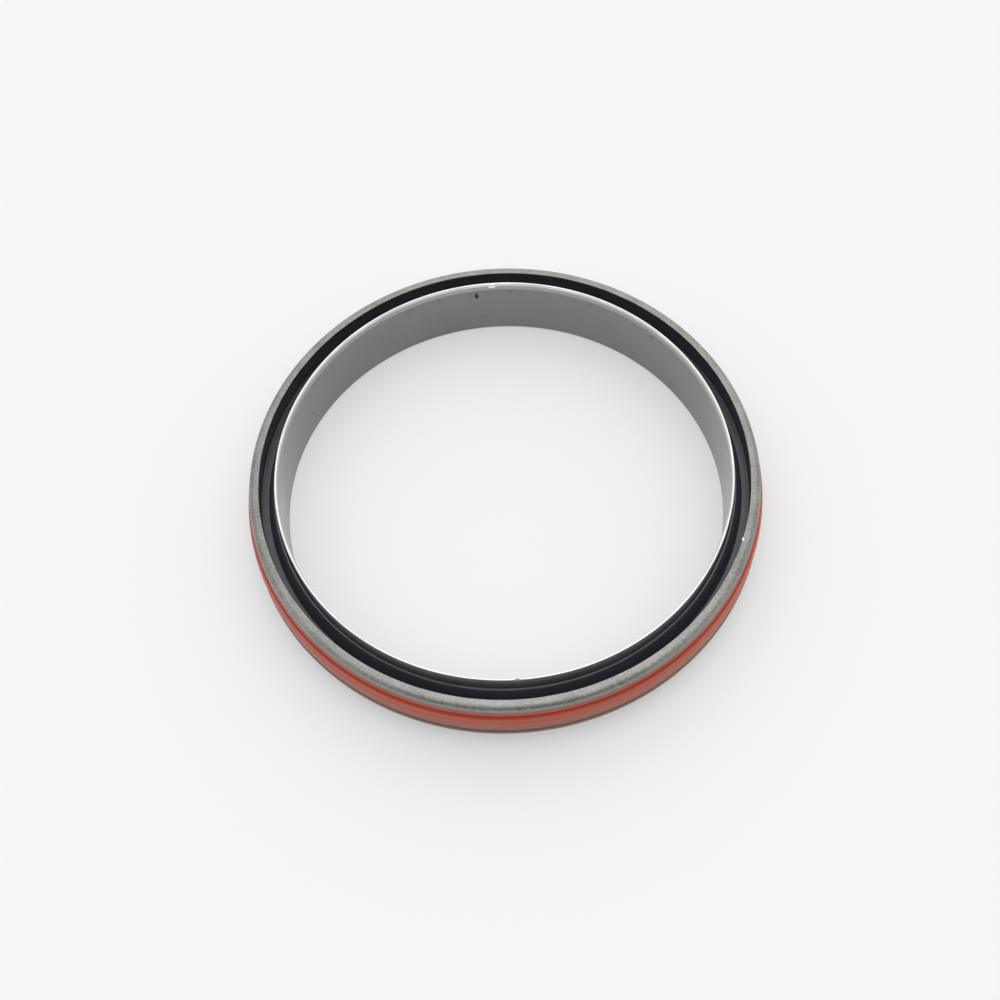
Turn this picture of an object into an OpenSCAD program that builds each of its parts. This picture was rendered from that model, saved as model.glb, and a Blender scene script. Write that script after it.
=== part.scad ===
// Crankshaft oil seal with its wear sleeve, all sizes in millimetres.
// The seal's axis is Z and the sleeve's foot stands on Z = 0. The air side is up and the oil side is down.
// The case, its band, the inner case, the lips and the spring stand still in the engine's housing.
// The wear sleeve is pressed on the crankshaft and turns inside the lips.

/* [Fit in the engine] */
// Diameter of the crankshaft journal, which is the bore of the wear sleeve
shaft_d = 130; // [126:0.5:130]
// Diameter of the housing bore, which is the outside of the case
housing_d = 150; // [150:0.5:154]

/* [Wear sleeve] */
// Length of the sleeve
sleeve_h = 22; // [21:0.5:28]
// Wall of the sleeve
sleeve_t = 1; // [1:0.1:1.4]
// Depth of the lead-in taper in the sleeve's upper mouth
lead_in_h = 2.2; // [1:0.1:3]
// How much the lead-in taper widens the mouth, on the radius
lead_in_w = 0.35; // [0.2:0.05:0.4]

/* [Outer case] */
// Height of the case's foot above the sleeve's foot
case_lift = 5.5; // [4:0.5:6]
// Length of the case
case_h = 15; // [15:0.5:18]
// Thickness of the case's steel sheet
case_t = 1.1; // [0.9:0.1:1.2]
// Radial width of the flange that closes the case on the air side
flange_w = 4.3; // [4:0.1:4.6]
// Fall of the flange towards its outside, in degrees
flange_fall = 11; // [5:0.5:16]
// Outside radius of the bend between flange and wall
bend_r = 2; // [1.6:0.1:2.4]
// Length of the bare steel collar at the foot, below the band
collar_h = 2; // [1.6:0.1:2.4]

/* [Sealing band] */
// Radial thickness of the band's broad rib, and depth of the seat that is rolled into the case for it
band_t = 1.25; // [1.1:0.05:1.35]
// Height of the broad rib's crest above the case's foot
crest_h = 7.3; // [6.5:0.1:7.8]
// Height of the groove's lower edge, where the broad rib's ramp ends, above the case's foot
groove_h = 9.75; // [9.2:0.05:10]
// Thickness of the rubber in the groove
groove_t = 0.1; // [0.1:0.05:0.2]
// Thickness of the upper rib
rib_t = 0.25; // [0.25:0.05:0.4]
// Height of the upper rib, with the taper that ends on the case's bend
rib_h = 1.4; // [1.3:0.1:1.8]
// Depth of the upper rib's top below the flange's corner
rib_drop = 2.25; // [2.1:0.05:2.5]

/* [Inner case] */
// Thickness of the inner case's steel sheet
inner_t = 0.9; // [0.7:0.1:0.9]
// Radial clearance between the wear sleeve and the hole in the inner case
inner_clear = 4; // [3.6:0.1:4.4]
// Height of the inner case's foot above the outer case's foot
inner_lift = 0.5; // [0.3:0.1:0.5]
// Height of the inner case's upper end, where the rubber body starts, above the outer case's foot
body_h = 6.4; // [6.4:0.1:6.8]

/* [Lips] */
// Running clearance between the lips' edges and the sleeve, on the radius
lip_gap = 0.05; // [0.02:0.01:0.1]
// Height of the oil lip's edge above the case's foot
oil_edge_z = 2.8; // [2.7:0.1:2.9]
// Angle of the oil lip's air-side flank, from the shaft, in degrees
air_angle = 25; // [20:1:28]
// Angle of the oil lip's oil-side flank, from the shaft, in degrees
oil_angle = 45; // [42:1:50]
// Height of the dust lip's edge above the case's foot
dust_edge_z = 11.3; // [11:0.1:11.6]
// Angle of the dust lip, from the shaft, in degrees
dust_angle = 21; // [18:1:24]
// Thickness of the dust lip
dust_t = 0.85; // [0.7:0.05:0.9]
// Thickness of the rubber that lines the case under its flange
lining_t = 0.5; // [0.4:0.05:0.6]
// How far the trough above the lips reaches out under the flange
undercut = 0.6; // [0.5:0.05:0.9]

/* [Garter spring] */
// Outside diameter of the spring's coil
spring_d = 2.4; // [2:0.1:2.5]
// How far the spring lies from the oil lip's edge, towards the air side
spring_offset = 0.5; // [0.3:0.1:0.6]

/* [Hidden] */
$fn = 288;

// Largest turn between two points of a rounded corner, in degrees
turn_step = 11;

// Radii and heights that the pieces share
housing_r = housing_d / 2;
bore_r = shaft_d / 2;
sleeve_r = bore_r + sleeve_t;
lip_r = sleeve_r + lip_gap;
// Radius of the sheets' edges, and the height of the flange's sharp corner, which that radius takes down
edge_r = 0.2;
case_top = case_lift + case_h + edge_r * (tan(flange_fall) + 1 / cos(flange_fall) - 1);
rim_r = housing_r - flange_w;
seat_r = housing_r - band_t;
wall_r = seat_r - case_t;
jog_h = 0.8;
jog_z = case_lift + collar_h;
seat_z = jog_z + jog_h;
body_z = case_lift + body_h;
oil_z = case_lift + oil_edge_z;
dust_z = case_lift + dust_edge_z;

// Circle through the middle of the spring's coil; head_t is the rubber from there to the oil lip's edge
head_t = 2.1;
spring_r = spring_d / 2;
spring_z = oil_z + spring_offset;
spring_ring_r = lip_r + head_t + spring_r;

// Unit vector along v
function unit(v) = v / norm(v);

// Points of the corner at b, between its neighbours a and c, rounded to the radius rad
function rounded_corner(a, b, c, rad) =
    let (
        u = unit(a - b),
        v = unit(c - b),
        half = acos(max(-1, min(1, u * v))) / 2
    )
    rad == 0 ? [b] :
    let (
        centre = b + unit(u + v) * rad / sin(half),
        from = b + u * rad / tan(half) - centre,
        side = cross(from, b + v * rad / tan(half) - centre) > 0 ? 1 : -1,
        turn = 180 - 2 * half,
        steps = ceil(turn / turn_step),
        start = atan2(from[1], from[0])
    )
    [for (i = [0:steps]) let (at = start + side * turn * i / steps) centre + rad * [cos(at), sin(at)]];

// Outline through corners that are each given as radius from the axis, height and corner radius
function outline(corners) =
    let (n = len(corners), at = [for (k = corners) [k[0], k[1]]])
    [for (i = [0:n - 1]) each rounded_corner(at[(i + n - 1) % n], at[i], at[(i + 1) % n], corners[i][2])];

// Closed section of one piece, in the plane of radius and height
module section(corners) {
    polygon(outline(corners));
}

// Section of the outer case: a drawn cup whose wall is rolled inwards to seat the band
module case_section() {
    lead_w = 0.4;
    lead_h = 0.6;
    sheet_drop = case_t / cos(flange_fall);
    jog_turn = atan2(band_t, jog_h);
    jog_shift = case_t * tan(jog_turn / 2);
    section([
        [housing_r - case_t, case_lift, edge_r],
        [housing_r - lead_w, case_lift, edge_r],
        [housing_r, case_lift + lead_h, edge_r],
        [housing_r, jog_z, edge_r],
        [seat_r, seat_z, 0],
        [seat_r, case_top - (seat_r - rim_r) * tan(flange_fall), bend_r],
        [rim_r, case_top, edge_r],
        [rim_r, case_top - sheet_drop, edge_r],
        [wall_r, case_top - sheet_drop - (wall_r - rim_r) * tan(flange_fall), bend_r - case_t],
        [wall_r, seat_z - jog_shift, edge_r],
        [housing_r - case_t, jog_z - jog_shift, edge_r]
    ]);
}

// Outer case: bare steel flange, bend and foot collar
module outer_case() {
    color("darkgray")
        rotate_extrude()
            case_section();
}

// Sealing band: orange rubber on the case's wall, with a low upper rib, a groove and a broad lower rib
module seal_band() {
    root_r = seat_r - case_t / 2;
    rib_r = seat_r + rib_t;
    groove_r = seat_r + groove_t;
    ramp_r = seat_r + 0.7;
    rib_top_z = case_top - rib_drop;
    rib_low_z = rib_top_z - rib_h;
    rib_taper = 0.75;
    slope = 0.15;
    groove_z = case_lift + groove_h;
    chamfer_w = 0.25;
    chamfer_h = 0.5;
    color("orangered")
        rotate_extrude()
            difference() {
                section([
                    [root_r, seat_z, 0],
                    [housing_r - chamfer_w, seat_z, 0.1],
                    [housing_r, seat_z + chamfer_h, 0.3],
                    [housing_r, case_lift + crest_h, 1],
                    [ramp_r, groove_z, 0.15],
                    [groove_r, groove_z + slope, 0.1],
                    [groove_r, rib_low_z - slope, 0.1],
                    [rib_r, rib_low_z, 0.1],
                    [rib_r, rib_top_z - rib_taper, 0.3],
                    [seat_r - slope, rib_top_z + rib_taper / 2, 0],
                    [root_r, rib_low_z, 0]
                ]);
                case_section();
            }
}

// Inner case: pressed steel ring with a flange that guards the spring on the oil side
module inner_case() {
    inner_bend = 1.3;
    low_z = case_lift + inner_lift;
    hole_r = sleeve_r + inner_clear;
    color("dimgray")
        rotate_extrude()
            section([
                [hole_r, low_z, edge_r],
                [wall_r, low_z, inner_bend],
                [wall_r, body_z, edge_r],
                [wall_r - inner_t, body_z, edge_r],
                [wall_r - inner_t, low_z + inner_t, inner_bend - inner_t],
                [hole_r, low_z + inner_t, edge_r]
            ]);
}

// Lip element: black rubber with its lining, the dust lip, the oil lip and the spring's groove
module lip_element() {
    sheet_mid = case_t / 2 / cos(flange_fall);
    root_r = wall_r + case_t / 2;

    // Lining under the flange, which ends short of the flange's edge, and the deep trough that it roofs,
    // whose thin floor falls towards the dust lip
    lining_r = rim_r + 0.25;
    lining_z = case_top - case_t / cos(flange_fall) - lining_t;
    trough_out_r = rim_r + undercut;
    trough_z = body_z + 0.7;
    floor_rise = 0.2;

    // Dust lip: its edge, its blunt tip above the edge, and its foot in the chamber below
    tip_h = 0.6;
    tip_w = dust_t / cos(dust_angle);
    tip_z = dust_z + tip_h;
    foot_h = 2.4;
    foot_z = dust_z - foot_h;
    trough_r = lip_r + tip_w + (tip_z - trough_z) * tan(dust_angle);

    // Oil lip: the thin neck that it flexes on, its two flanks, its head and the rims that hold the spring
    neck_r = lip_r + 1.3;
    neck_t = 1.1;
    neck_out_r = neck_r + neck_t;
    chamber_h = 0.8;
    flank_h = 2.25;
    nose_h = 1.2;
    nose_z = oil_z - nose_h;
    head_r = spring_ring_r - 0.35;
    rim_h = 0.35;
    rim_z = spring_z + spring_r + rim_h;
    haunch_w = 1.6;
    haunch_h = 0.5;

    color([0.12, 0.12, 0.14])
        rotate_extrude()
            difference() {
                section([
                    [root_r, body_z, 0],
                    [root_r, case_top - sheet_mid - (root_r - rim_r) * tan(flange_fall), bend_r - case_t / 2],
                    [lining_r, case_top - sheet_mid, 0],
                    [lining_r, lining_z, 0.15],
                    [trough_out_r, lining_z - undercut * tan(flange_fall), 0.3],
                    [trough_out_r, trough_z + floor_rise, 0.4],
                    [trough_r, trough_z, 0.4],
                    [lip_r + tip_w, tip_z, 0.45],
                    [lip_r + tip_h * tan(dust_angle), tip_z, 0.2],
                    [lip_r, dust_z, 0],
                    [lip_r + foot_h * tan(dust_angle), foot_z, 0.5],
                    [neck_r, foot_z - chamber_h, 0.5],
                    [neck_r, oil_z + flank_h + chamber_h, 0.5],
                    [lip_r + flank_h * tan(air_angle), oil_z + flank_h, 0.5],
                    [lip_r, oil_z, 0],
                    [lip_r + nose_h * tan(oil_angle), nose_z, 0.25],
                    [head_r, nose_z, 0.3],
                    [head_r, rim_z, 0.3],
                    [neck_out_r, rim_z + rim_h, 0.3],
                    [neck_out_r, body_z - haunch_h, 0.3],
                    [neck_out_r + haunch_w, body_z, 0.5]
                ]);
                case_section();
                translate([spring_ring_r, spring_z])
                    circle(r = spring_r);
            }
}

// Garter spring: the close-wound coil as a ring, which holds the oil lip against the sleeve
module garter_spring() {
    color("silver")
        rotate_extrude()
            translate([spring_ring_r, spring_z])
                circle(r = spring_r);
}

// Wear sleeve: thin ground steel tube with a lead-in taper in its upper mouth
module wear_sleeve() {
    chamfer_w = 0.3;
    chamfer_h = 0.5;
    round_r = 0.25;
    color("lightgray")
        rotate_extrude()
            section([
                [bore_r, chamfer_h, 0],
                [bore_r + chamfer_w, 0, 0],
                [sleeve_r - chamfer_w, 0, 0],
                [sleeve_r, chamfer_h, 0],
                [sleeve_r, sleeve_h, round_r],
                [bore_r + lead_in_w, sleeve_h, round_r],
                [bore_r, sleeve_h - lead_in_h, 0]
            ]);
}

outer_case();
seal_band();
inner_case();
lip_element();
garter_spring();
wear_sleeve();
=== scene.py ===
"""Looks of a crankshaft oil seal on its wear sleeve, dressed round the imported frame.

The seal's axis is Z and the sleeve's foot stands on Z = 0. Lengths are in millimetres until
loop_mesh, Paint and Studio hand them to Blender in metres.
"""

from __future__ import annotations

import logging
import math
from dataclasses import dataclass, field
from enum import Enum
from typing import Any

import bpy
import numpy as np
from mathutils import Matrix, Vector

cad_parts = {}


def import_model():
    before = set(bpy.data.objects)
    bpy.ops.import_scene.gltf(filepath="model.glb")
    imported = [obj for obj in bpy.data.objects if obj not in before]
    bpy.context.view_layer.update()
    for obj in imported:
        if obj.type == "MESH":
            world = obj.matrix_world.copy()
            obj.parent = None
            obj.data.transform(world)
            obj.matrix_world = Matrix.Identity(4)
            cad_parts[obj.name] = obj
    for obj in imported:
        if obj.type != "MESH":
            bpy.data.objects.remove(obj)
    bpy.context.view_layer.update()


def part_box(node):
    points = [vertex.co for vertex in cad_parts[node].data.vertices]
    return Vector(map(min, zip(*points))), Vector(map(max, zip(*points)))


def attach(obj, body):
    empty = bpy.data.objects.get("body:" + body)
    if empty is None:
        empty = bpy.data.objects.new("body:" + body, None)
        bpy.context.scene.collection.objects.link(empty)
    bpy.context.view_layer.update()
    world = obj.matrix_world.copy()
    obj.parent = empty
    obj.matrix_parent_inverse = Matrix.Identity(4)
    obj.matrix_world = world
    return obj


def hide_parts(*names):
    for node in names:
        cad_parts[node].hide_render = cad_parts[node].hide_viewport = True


LOG = logging.getLogger("oil_seal")
MM = 0.001


class Body(Enum):
    """The two bodies of the frame, which turn against each other."""

    SEAL = "seal"
    SLEEVE = "sleeve"


class Slot(Enum):
    """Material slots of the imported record."""

    CASE = "case_steel"
    BAND = "band_rubber"
    INNER_CASE = "inner_case_steel"
    LIP = "lip_rubber"
    SPRING = "spring_wire"
    SLEEVE = "sleeve_steel"


def linear(hex_code: str) -> tuple[float, float, float, float]:
    """Turns an sRGB hex colour to linear light.

    Args:
        hex_code: Six hex digits, such as "c8401f".

    Returns:
        Linear red, green, blue and an alpha of 1.
    """
    shares = [int(hex_code[i : i + 2], 16) / 255 for i in (0, 2, 4)]
    red, green, blue = (s / 12.92 if s <= 0.04045 else ((s + 0.055) / 1.055) ** 2.4 for s in shares)
    return red, green, blue, 1.0


def add_node(tree: bpy.types.NodeTree, kind: str, inputs: dict[Any, Any], **settings: Any) -> bpy.types.Node:
    """Adds one node to a tree, with its settings, constants and links.

    Args:
        tree: The node tree of a material or a world.
        kind: Blender's name for the node type.
        inputs: Input socket, by name or number, to a constant or to the socket that feeds it.
        settings: Properties of the node itself.

    Returns:
        The new node.
    """
    node = tree.nodes.new(kind)
    for name, value in settings.items():
        setattr(node, name, value)
    for socket, value in inputs.items():
        if isinstance(value, bpy.types.NodeSocket):
            tree.links.new(value, node.inputs[socket])
        else:
            node.inputs[socket].default_value = value
    return node


@dataclass(frozen=True)
class Corner:
    """One corner of a turned section.

    Attributes:
        r: Its distance from the axis.
        z: Its height.
        rounding: Radius that rounds it.
    """

    r: float
    z: float
    rounding: float = 0.0


@dataclass(frozen=True)
class Outline:
    """Closed section of a ring, in the plane of radius and height.

    Attributes:
        corners: The section's corners, in order.
        turn_step: Largest turn between two points of a rounded corner, in degrees.
        hold: How far from a corner a long edge gets an extra point, which keeps its shading flat.
    """

    corners: tuple[Corner, ...]
    turn_step: float = 9.0
    hold: float = 0.12

    def _rounded(self, before: Corner, here: Corner, after: Corner) -> list[np.ndarray]:
        """Gives the points of one corner.

        Args:
            before: The corner before this one.
            here: The corner that is rounded.
            after: The corner after this one.

        Returns:
            One point for a sharp corner, or the points of its arc.
        """
        a, b, c = (np.array([k.r, k.z]) for k in (before, here, after))
        if here.rounding == 0:
            return [b]
        u, v = ((p - b) / np.linalg.norm(p - b) for p in (a, c))
        half = math.acos(float(np.clip(u @ v, -1, 1))) / 2
        centre = b + (u + v) / np.linalg.norm(u + v) * here.rounding / math.sin(half)
        start, end = (b + w * here.rounding / math.tan(half) - centre for w in (u, v))
        first = math.atan2(start[1], start[0])
        turn = math.atan2(start[0] * end[1] - start[1] * end[0], float(start @ end))
        steps = max(2, math.ceil(abs(math.degrees(turn)) / self.turn_step))
        angles = [first + turn * i / steps for i in range(steps + 1)]
        return [centre + here.rounding * np.array([math.cos(t), math.sin(t)]) for t in angles]

    def points(self) -> np.ndarray:
        """Gives the outline's points, with extra ones near the ends of long edges.

        Returns:
            An array of radius and height, anticlockwise.
        """
        around = self.corners[-1:] + self.corners + self.corners[:1]
        raw = [p for trio in zip(around, around[1:], around[2:]) for p in self._rounded(*trio)]
        long_edge = 3 * self.hold
        full: list[np.ndarray] = []
        for here, after in zip(raw, raw[1:] + raw[:1]):
            full.append(here)
            length = float(np.linalg.norm(after - here))
            if length > long_edge:
                near = self.hold / length
                full += [here + (after - here) * share for share in (near, 1 - near)]
        made = np.array(full)
        area = np.sum(made[:, 0] * np.roll(made[:, 1], -1) - np.roll(made[:, 0], -1) * made[:, 1])
        return made if area > 0 else made[::-1]


@dataclass(frozen=True)
class Mark:
    """A small nick or burr in a turned ring.

    Attributes:
        azimuth: Where it is round the axis, in degrees from +X.
        r: Radius of its middle.
        z: Height of its middle.
        width: How far it reaches round the ring.
        reach: How far it reaches over the section.
        push: How far it moves the surface, as radius and height.
    """

    azimuth: float
    r: float
    z: float
    width: float
    reach: float
    push: tuple[float, float]

    def weight(self, angles: np.ndarray, section: np.ndarray) -> np.ndarray:
        """Gives how strongly each point of a ring follows the mark.

        Args:
            angles: The ring's angles, in radians.
            section: The ring's section points.

        Returns:
            One weight from 0 to 1 for each angle and section point.
        """
        turn = angles - math.radians(self.azimuth)
        arc = self.r * np.arctan2(np.sin(turn), np.cos(turn))
        off = np.hypot(section[:, 0] - self.r, section[:, 1] - self.z)
        return np.exp(-((arc / self.width) ** 2))[:, None] * np.exp(-((off / self.reach) ** 2))[None]


@dataclass(frozen=True)
class Ripple:
    """A slow waviness of one stretch of a section, such as a trimmed or flowed edge.

    Attributes:
        r: Radius of the stretch's middle.
        z: Height of the stretch's middle.
        reach: How far it reaches over the section.
        push: How far the largest wave moves the surface, as radius and height.
        waves: Numbers of waves round the ring, which are added together.
        lag: Turn that keeps the waves from starting together, in radians.
    """

    r: float
    z: float
    reach: float
    push: tuple[float, float]
    waves: tuple[int, ...] = (7, 19, 43, 97)
    lag: float = 1.7

    def weight(self, angles: np.ndarray, section: np.ndarray) -> np.ndarray:
        """Gives how far each point of a ring follows the ripple, from -1 to 1.

        Args:
            angles: The ring's angles, in radians.
            section: The ring's section points.

        Returns:
            One weight for each angle and section point.
        """
        sway = sum(np.sin(k * angles + self.lag * i * i) for i, k in enumerate(self.waves)) / len(self.waves)
        off = np.hypot(section[:, 0] - self.r, section[:, 1] - self.z)
        return sway[:, None] * np.exp(-((off / self.reach) ** 2))[None]


def loop_mesh(name: str, points: np.ndarray, flipped: bool = False) -> bpy.types.Mesh:
    """Joins rows of points to a mesh that closes on itself along the rows and across them.

    Args:
        name: Name of the mesh.
        points: Rows of points, in millimetres.
        flipped: Whether the faces look to the other side.

    Returns:
        The new mesh in metres, with one face for each point.
    """
    rows, columns = points.shape[:2]
    i, j = np.meshgrid(np.arange(rows), np.arange(columns), indexing="ij")
    up, on = (i + 1) % rows, (j + 1) % columns
    quads = np.stack([i * columns + j, up * columns + j, up * columns + on, i * columns + on], axis=-1)
    if flipped:
        quads = quads[..., [0, 3, 2, 1]]
    mesh = bpy.data.meshes.new(name)
    mesh.from_pydata((points.reshape(-1, 3) * MM).tolist(), [], quads.reshape(-1, 4).tolist())
    return mesh


def finish_mesh(mesh: bpy.types.Mesh, crease: float = 40.0) -> bpy.types.Object:
    """Shades a mesh smooth but for its sharp edges, and puts it in the scene.

    Args:
        mesh: The mesh, in metres.
        crease: Turn between two faces above which their edge stays sharp, in degrees.

    Returns:
        The object that holds the mesh.
    """
    mesh.validate()
    mesh.shade_smooth()
    mesh.set_sharp_from_angle(angle=math.radians(crease))
    made = bpy.data.objects.new(mesh.name, mesh)
    bpy.context.scene.collection.objects.link(made)
    return made


@dataclass
class TurnedRing:
    """A closed ring turned round the seal's axis.

    Attributes:
        name: Name of the piece.
        outline: Its section.
        flaws: Marks and ripples that bend it.
        steps: Even steps round the axis.
        polished_z: Height above which its faces take the second finish.
    """

    name: str
    outline: Outline
    flaws: tuple[Mark | Ripple, ...] = ()
    steps: int = 540
    polished_z: float | None = None

    def _angles(self) -> np.ndarray:
        """Gives the ring's angles: even ones, and closer ones within three widths of each mark.

        Returns:
            The angles in radians, in order.
        """
        widths, steps_each, least = 3, 8, 0.01
        even = np.arange(self.steps) / self.steps * 360
        fan = np.arange(-widths * steps_each, widths * steps_each + 1)
        marks = [flaw for flaw in self.flaws if isinstance(flaw, Mark)]
        near = [m.azimuth + fan * math.degrees(m.width / m.r) / steps_each for m in marks]
        merged = np.unique(np.concatenate([even, *near]) % 360)
        spaced = merged[np.concatenate([[True], np.diff(merged) > least])]
        return np.radians(spaced)

    def build(self) -> bpy.types.Object:
        """Makes the ring as an object in metres.

        Returns:
            The new object, shaded smooth but for its sharp edges.
        """
        angles, section = self._angles(), self.outline.points()
        radius, height = (np.repeat(section[None, :, k], len(angles), axis=0) for k in (0, 1))
        for flaw in self.flaws:
            weight = flaw.weight(angles, section)
            radius = radius + weight * flaw.push[0]
            height = height + weight * flaw.push[1]
        turn = angles[:, None]
        mesh = loop_mesh(self.name, np.stack([radius * np.cos(turn), radius * np.sin(turn), height], axis=-1))
        if self.polished_z is not None:
            middle = (section + np.roll(section, -1, axis=0)) / 2
            second = (middle[:, 1] > self.polished_z).astype(np.int32)
            mesh.polygons.foreach_set("material_index", np.tile(second, len(angles)))
        return finish_mesh(mesh)


@dataclass
class CoiledSpring:
    """A close-wound coil of wire whose ends are joined to a ring.

    Attributes:
        name: Name of the piece.
        ring_r: Radius of the circle through the middle of the coil.
        z: Height of that circle.
        coil_r: Outside radius of the coil.
        wire_d: Diameter of the wire.
        pitch: Distance between two turns, as a multiple of the wire's diameter.
        steps: Points along the wire in one turn of the coil.
        sides: Sides of the wire.
    """

    name: str
    ring_r: float
    z: float
    coil_r: float
    wire_d: float = 0.5
    pitch: float = 1.03
    steps: int = 12
    sides: int = 6

    def build(self) -> bpy.types.Object:
        """Makes the coil as an object in metres, one turn after the other round the ring.

        Returns:
            The new object.
        """
        turns = int(2 * math.pi * self.ring_r / (self.wire_d * self.pitch))
        count = turns * self.steps
        ring = np.arange(count) / count * 2 * math.pi
        coil = ring * turns
        out = np.stack([np.cos(ring), np.sin(ring), np.zeros(count)], axis=-1)
        up = np.array([0.0, 0.0, 1.0])
        normal = out * np.cos(coil)[:, None] + up * np.sin(coil)[:, None]
        middle_r = self.coil_r - self.wire_d / 2
        path = out * self.ring_r + up * self.z + normal * middle_r
        along = np.roll(path, -1, axis=0) - np.roll(path, 1, axis=0)
        along /= np.linalg.norm(along, axis=1)[:, None]
        across = np.cross(along, normal)
        turn = np.arange(self.sides) / self.sides * 2 * math.pi
        offset = normal[:, None] * np.cos(turn)[None, :, None] + across[:, None] * np.sin(turn)[None, :, None]
        points = path[:, None] + offset * self.wire_d / 2
        return finish_mesh(loop_mesh(self.name, points, flipped=True), crease=80.0)


class Along(Enum):
    """What a pattern or a fade follows, in millimetres on the seal."""

    PLACE = "the point itself"
    RADIUS = "distance from the axis"
    HEIGHT = "height above the foot"
    TURNED = "a vector that changes quickly over the section and slowly round the axis"
    UPRIGHT = "a vector that changes quickly round the axis and slowly with the height"


@dataclass(frozen=True)
class Grain:
    """A random pattern of soft patches, with values around 0.5.

    Attributes:
        size: Width of a patch.
        along: What it is drawn over.
        detail: How many finer layers it has.
        fade: How strong each layer is, as a share of the one before.
    """

    size: float
    along: Along = Along.PLACE
    detail: float = 2.0
    fade: float = 0.6

    def add(self, paint: Paint) -> bpy.types.NodeSocket:
        """Adds the pattern to a material.

        Args:
            paint: The material's nodes.

        Returns:
            The socket of its value.
        """
        inputs = {"Vector": paint.value(self.along), "Scale": 1 / self.size}
        inputs |= {"Detail": self.detail, "Roughness": self.fade}
        return add_node(paint.tree, "ShaderNodeTexNoise", inputs).outputs["Fac"]


@dataclass(frozen=True)
class Crystals:
    """A random pattern of hard-edged grains, which grows from a grain's middle outwards.

    Attributes:
        size: Width of a grain.
    """

    size: float

    def add(self, paint: Paint) -> bpy.types.NodeSocket:
        """Adds the pattern to a material, and gives the socket of its value."""
        inputs = {"Vector": paint.value(Along.PLACE), "Scale": 1 / self.size}
        return add_node(paint.tree, "ShaderNodeTexVoronoi", inputs, feature="F1").outputs["Distance"]


@dataclass(frozen=True)
class Fade:
    """A number that goes from one value to another as what it follows grows.

    Attributes:
        source: The length or pattern that it follows.
        low: Its value up to the start.
        high: Its value from the end on.
        start: Where the change starts.
        end: Where the change ends.
        sway: A pattern that makes the change uneven.
        sway_by: How far the pattern shifts it.
    """

    source: Along | Grain | Crystals
    low: float
    high: float
    start: float = 0.3
    end: float = 0.7
    sway: Grain | None = None
    sway_by: float = 0.0

    def add(self, paint: Paint) -> bpy.types.NodeSocket:
        """Adds the number to a material.

        Args:
            paint: The material's nodes.

        Returns:
            The socket of the number.
        """
        value = paint.value(self.source)
        if self.sway:
            terms = {0: paint.value(self.sway), 1: self.sway_by, 2: value}
            value = add_node(paint.tree, "ShaderNodeMath", terms, operation="MULTIPLY_ADD").outputs[0]
        inputs = {"Value": value, "From Min": self.start, "From Max": self.end}
        inputs |= {"To Min": self.low, "To Max": self.high}
        return add_node(paint.tree, "ShaderNodeMapRange", inputs, clamp=True).outputs["Result"]


@dataclass(frozen=True)
class Coat:
    """A colour that lies over another one.

    Attributes:
        colour: Its sRGB hex colour.
        share: How much of it there is.
        within: A second share that limits the first.
    """

    colour: str
    share: Fade
    within: Fade | None = None

    def add(self, paint: Paint) -> bpy.types.NodeSocket:
        """Adds the coat's share to a material, and gives its socket."""
        return paint.combined("MULTIPLY", self.share, self.within) if self.within else paint.value(self.share)


@dataclass(frozen=True)
class Spot:
    """A small ragged spot of another colour on a turned face.

    Attributes:
        azimuth: Where it is round the axis, in degrees from +X.
        r: Radius of its middle.
        z: Height of its middle.
        size: Half its width.
        colour: Its sRGB hex colour.
        tall: Its height, as a multiple of its width.
    """

    azimuth: float
    r: float
    z: float
    size: float
    colour: str = "262321"
    tall: float = 1.0

    def middle(self) -> tuple[float, float, float]:
        """Gives the spot's middle, in a space that is squeezed so that the spot is round."""
        turn = math.radians(self.azimuth)
        return self.r * math.cos(turn), self.r * math.sin(turn), self.z / self.tall

    def add(self, paint: Paint) -> bpy.types.NodeSocket:
        """Adds the spot's share to a material.

        Args:
            paint: The material's nodes.

        Returns:
            The socket of the share, which is 1 on the spot.
        """
        edge_size, mean, solid = 0.5, 0.5, 0.7
        edge = paint.value(Grain(edge_size))
        squeeze = {0: paint.value(Along.PLACE), 1: (1.0, 1.0, 1 / self.tall)}
        place = add_node(paint.tree, "ShaderNodeVectorMath", squeeze, operation="MULTIPLY").outputs[0]
        ends = {0: place, 1: self.middle()}
        gap = add_node(paint.tree, "ShaderNodeVectorMath", ends, operation="DISTANCE").outputs["Value"]
        ragged = add_node(paint.tree, "ShaderNodeMath", {0: edge, 1: gap}, operation="ADD").outputs[0]
        inputs = {"Value": ragged, "From Min": self.size * solid + mean, "From Max": self.size + mean}
        inputs |= {"To Min": 1.0, "To Max": 0.0}
        return add_node(paint.tree, "ShaderNodeMapRange", inputs, clamp=True).outputs["Result"]


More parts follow.
